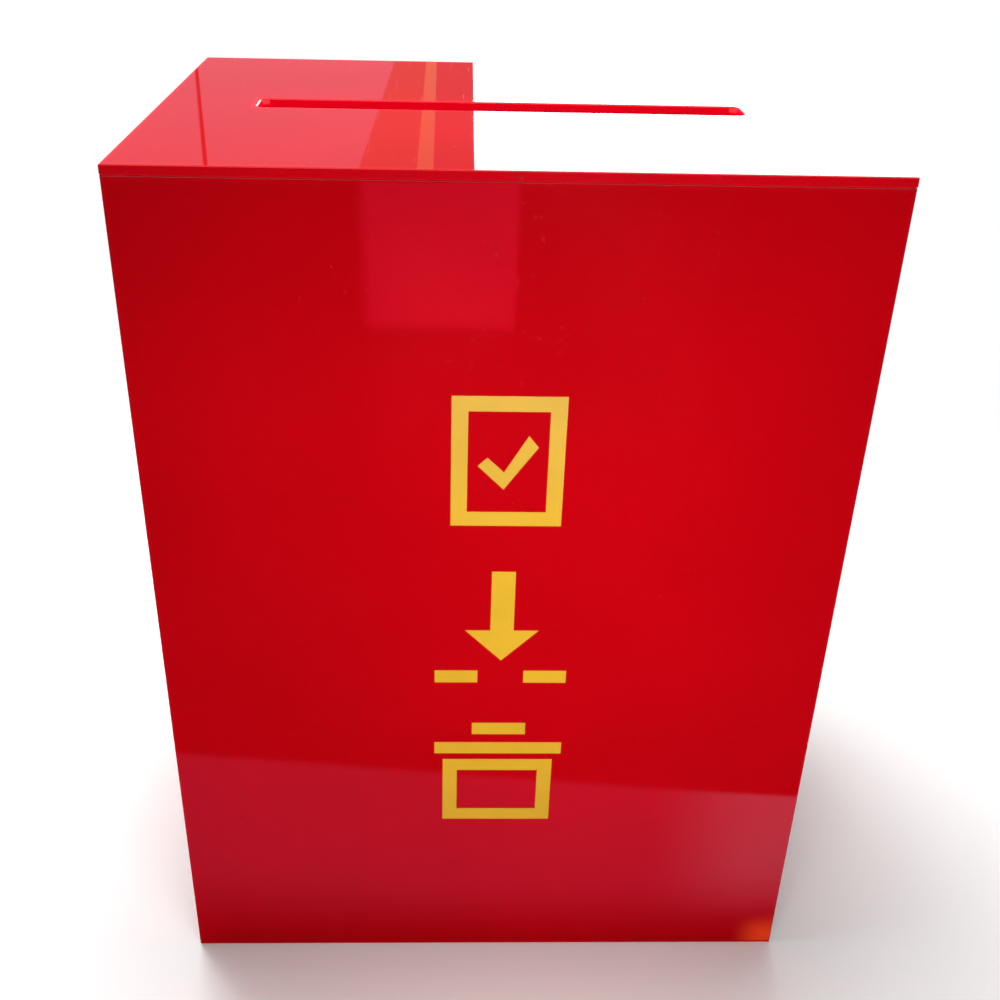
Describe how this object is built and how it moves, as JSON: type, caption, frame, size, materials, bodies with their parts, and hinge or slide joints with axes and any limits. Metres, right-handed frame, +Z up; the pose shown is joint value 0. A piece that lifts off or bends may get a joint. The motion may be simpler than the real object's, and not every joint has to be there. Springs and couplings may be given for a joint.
{
  "type": "ballot box",
  "caption": "Upright glued acrylic box with a long ballot slot in its top and a hinged door with a cam lock in its back wall.",
  "frame": {"origin": "centre of the base, on the surface that the box stands on", "axes": "+Z up, the front wall faces -Y, the door in the back wall faces +Y, +X is to the right for someone who looks at the front"},
  "size_m": [0.3, 0.2336, 0.404],
  "materials": {
    "red_acrylic": "polished cast acrylic sheet, deep red",
    "hinge_steel": "satin stainless steel",
    "zinc_plated_steel": "bright zinc plate",
    "lock_chrome": "chrome plated zinc casting",
    "yellow_vinyl": "cut vinyl film, semi-gloss"
  },
  "bodies": {
    "box": {"top_panel": "red_acrylic", "front_panel": "red_acrylic", "left_panel": "red_acrylic", "right_panel": "red_acrylic", "back_panel": "red_acrylic", "bottom_panel": "red_acrylic", "door_stop_latch": "red_acrylic", "door_stop_upper": "red_acrylic", "door_stop_lower": "red_acrylic", "hinge_upper_frame_leaf": "hinge_steel", "hinge_upper_pin": "hinge_steel", "hinge_lower_frame_leaf": "hinge_steel", "hinge_lower_pin": "hinge_steel", "hinge_frame_screws": "zinc_plated_steel", "hinge_frame_nuts": "zinc_plated_steel"},
    "door": {"back_door": "red_acrylic", "hinge_upper_door_leaf": "hinge_steel", "hinge_lower_door_leaf": "hinge_steel", "hinge_door_screws": "zinc_plated_steel", "hinge_door_nuts": "zinc_plated_steel", "lock_body": "lock_chrome", "lock_washer": "zinc_plated_steel", "lock_nut": "lock_chrome"},
    "lock": {"lock_plug": "lock_chrome", "lock_cam": "zinc_plated_steel", "lock_cam_screw": "zinc_plated_steel"}
  },
  "joints": [
    {"name": "door_hinge", "type": "hinge", "parent": "box", "child": "door", "pos_m": [0.0995, 0.1171, 0.16], "axis": [0, 0, -1], "range_deg": [0, 175]},
    {"name": "lock_turn", "type": "hinge", "parent": "door", "child": "lock", "pos_m": [-0.08, 0.1143, 0.16], "axis": [0, 1, 0], "range_deg": [0, 90]}
  ]
}
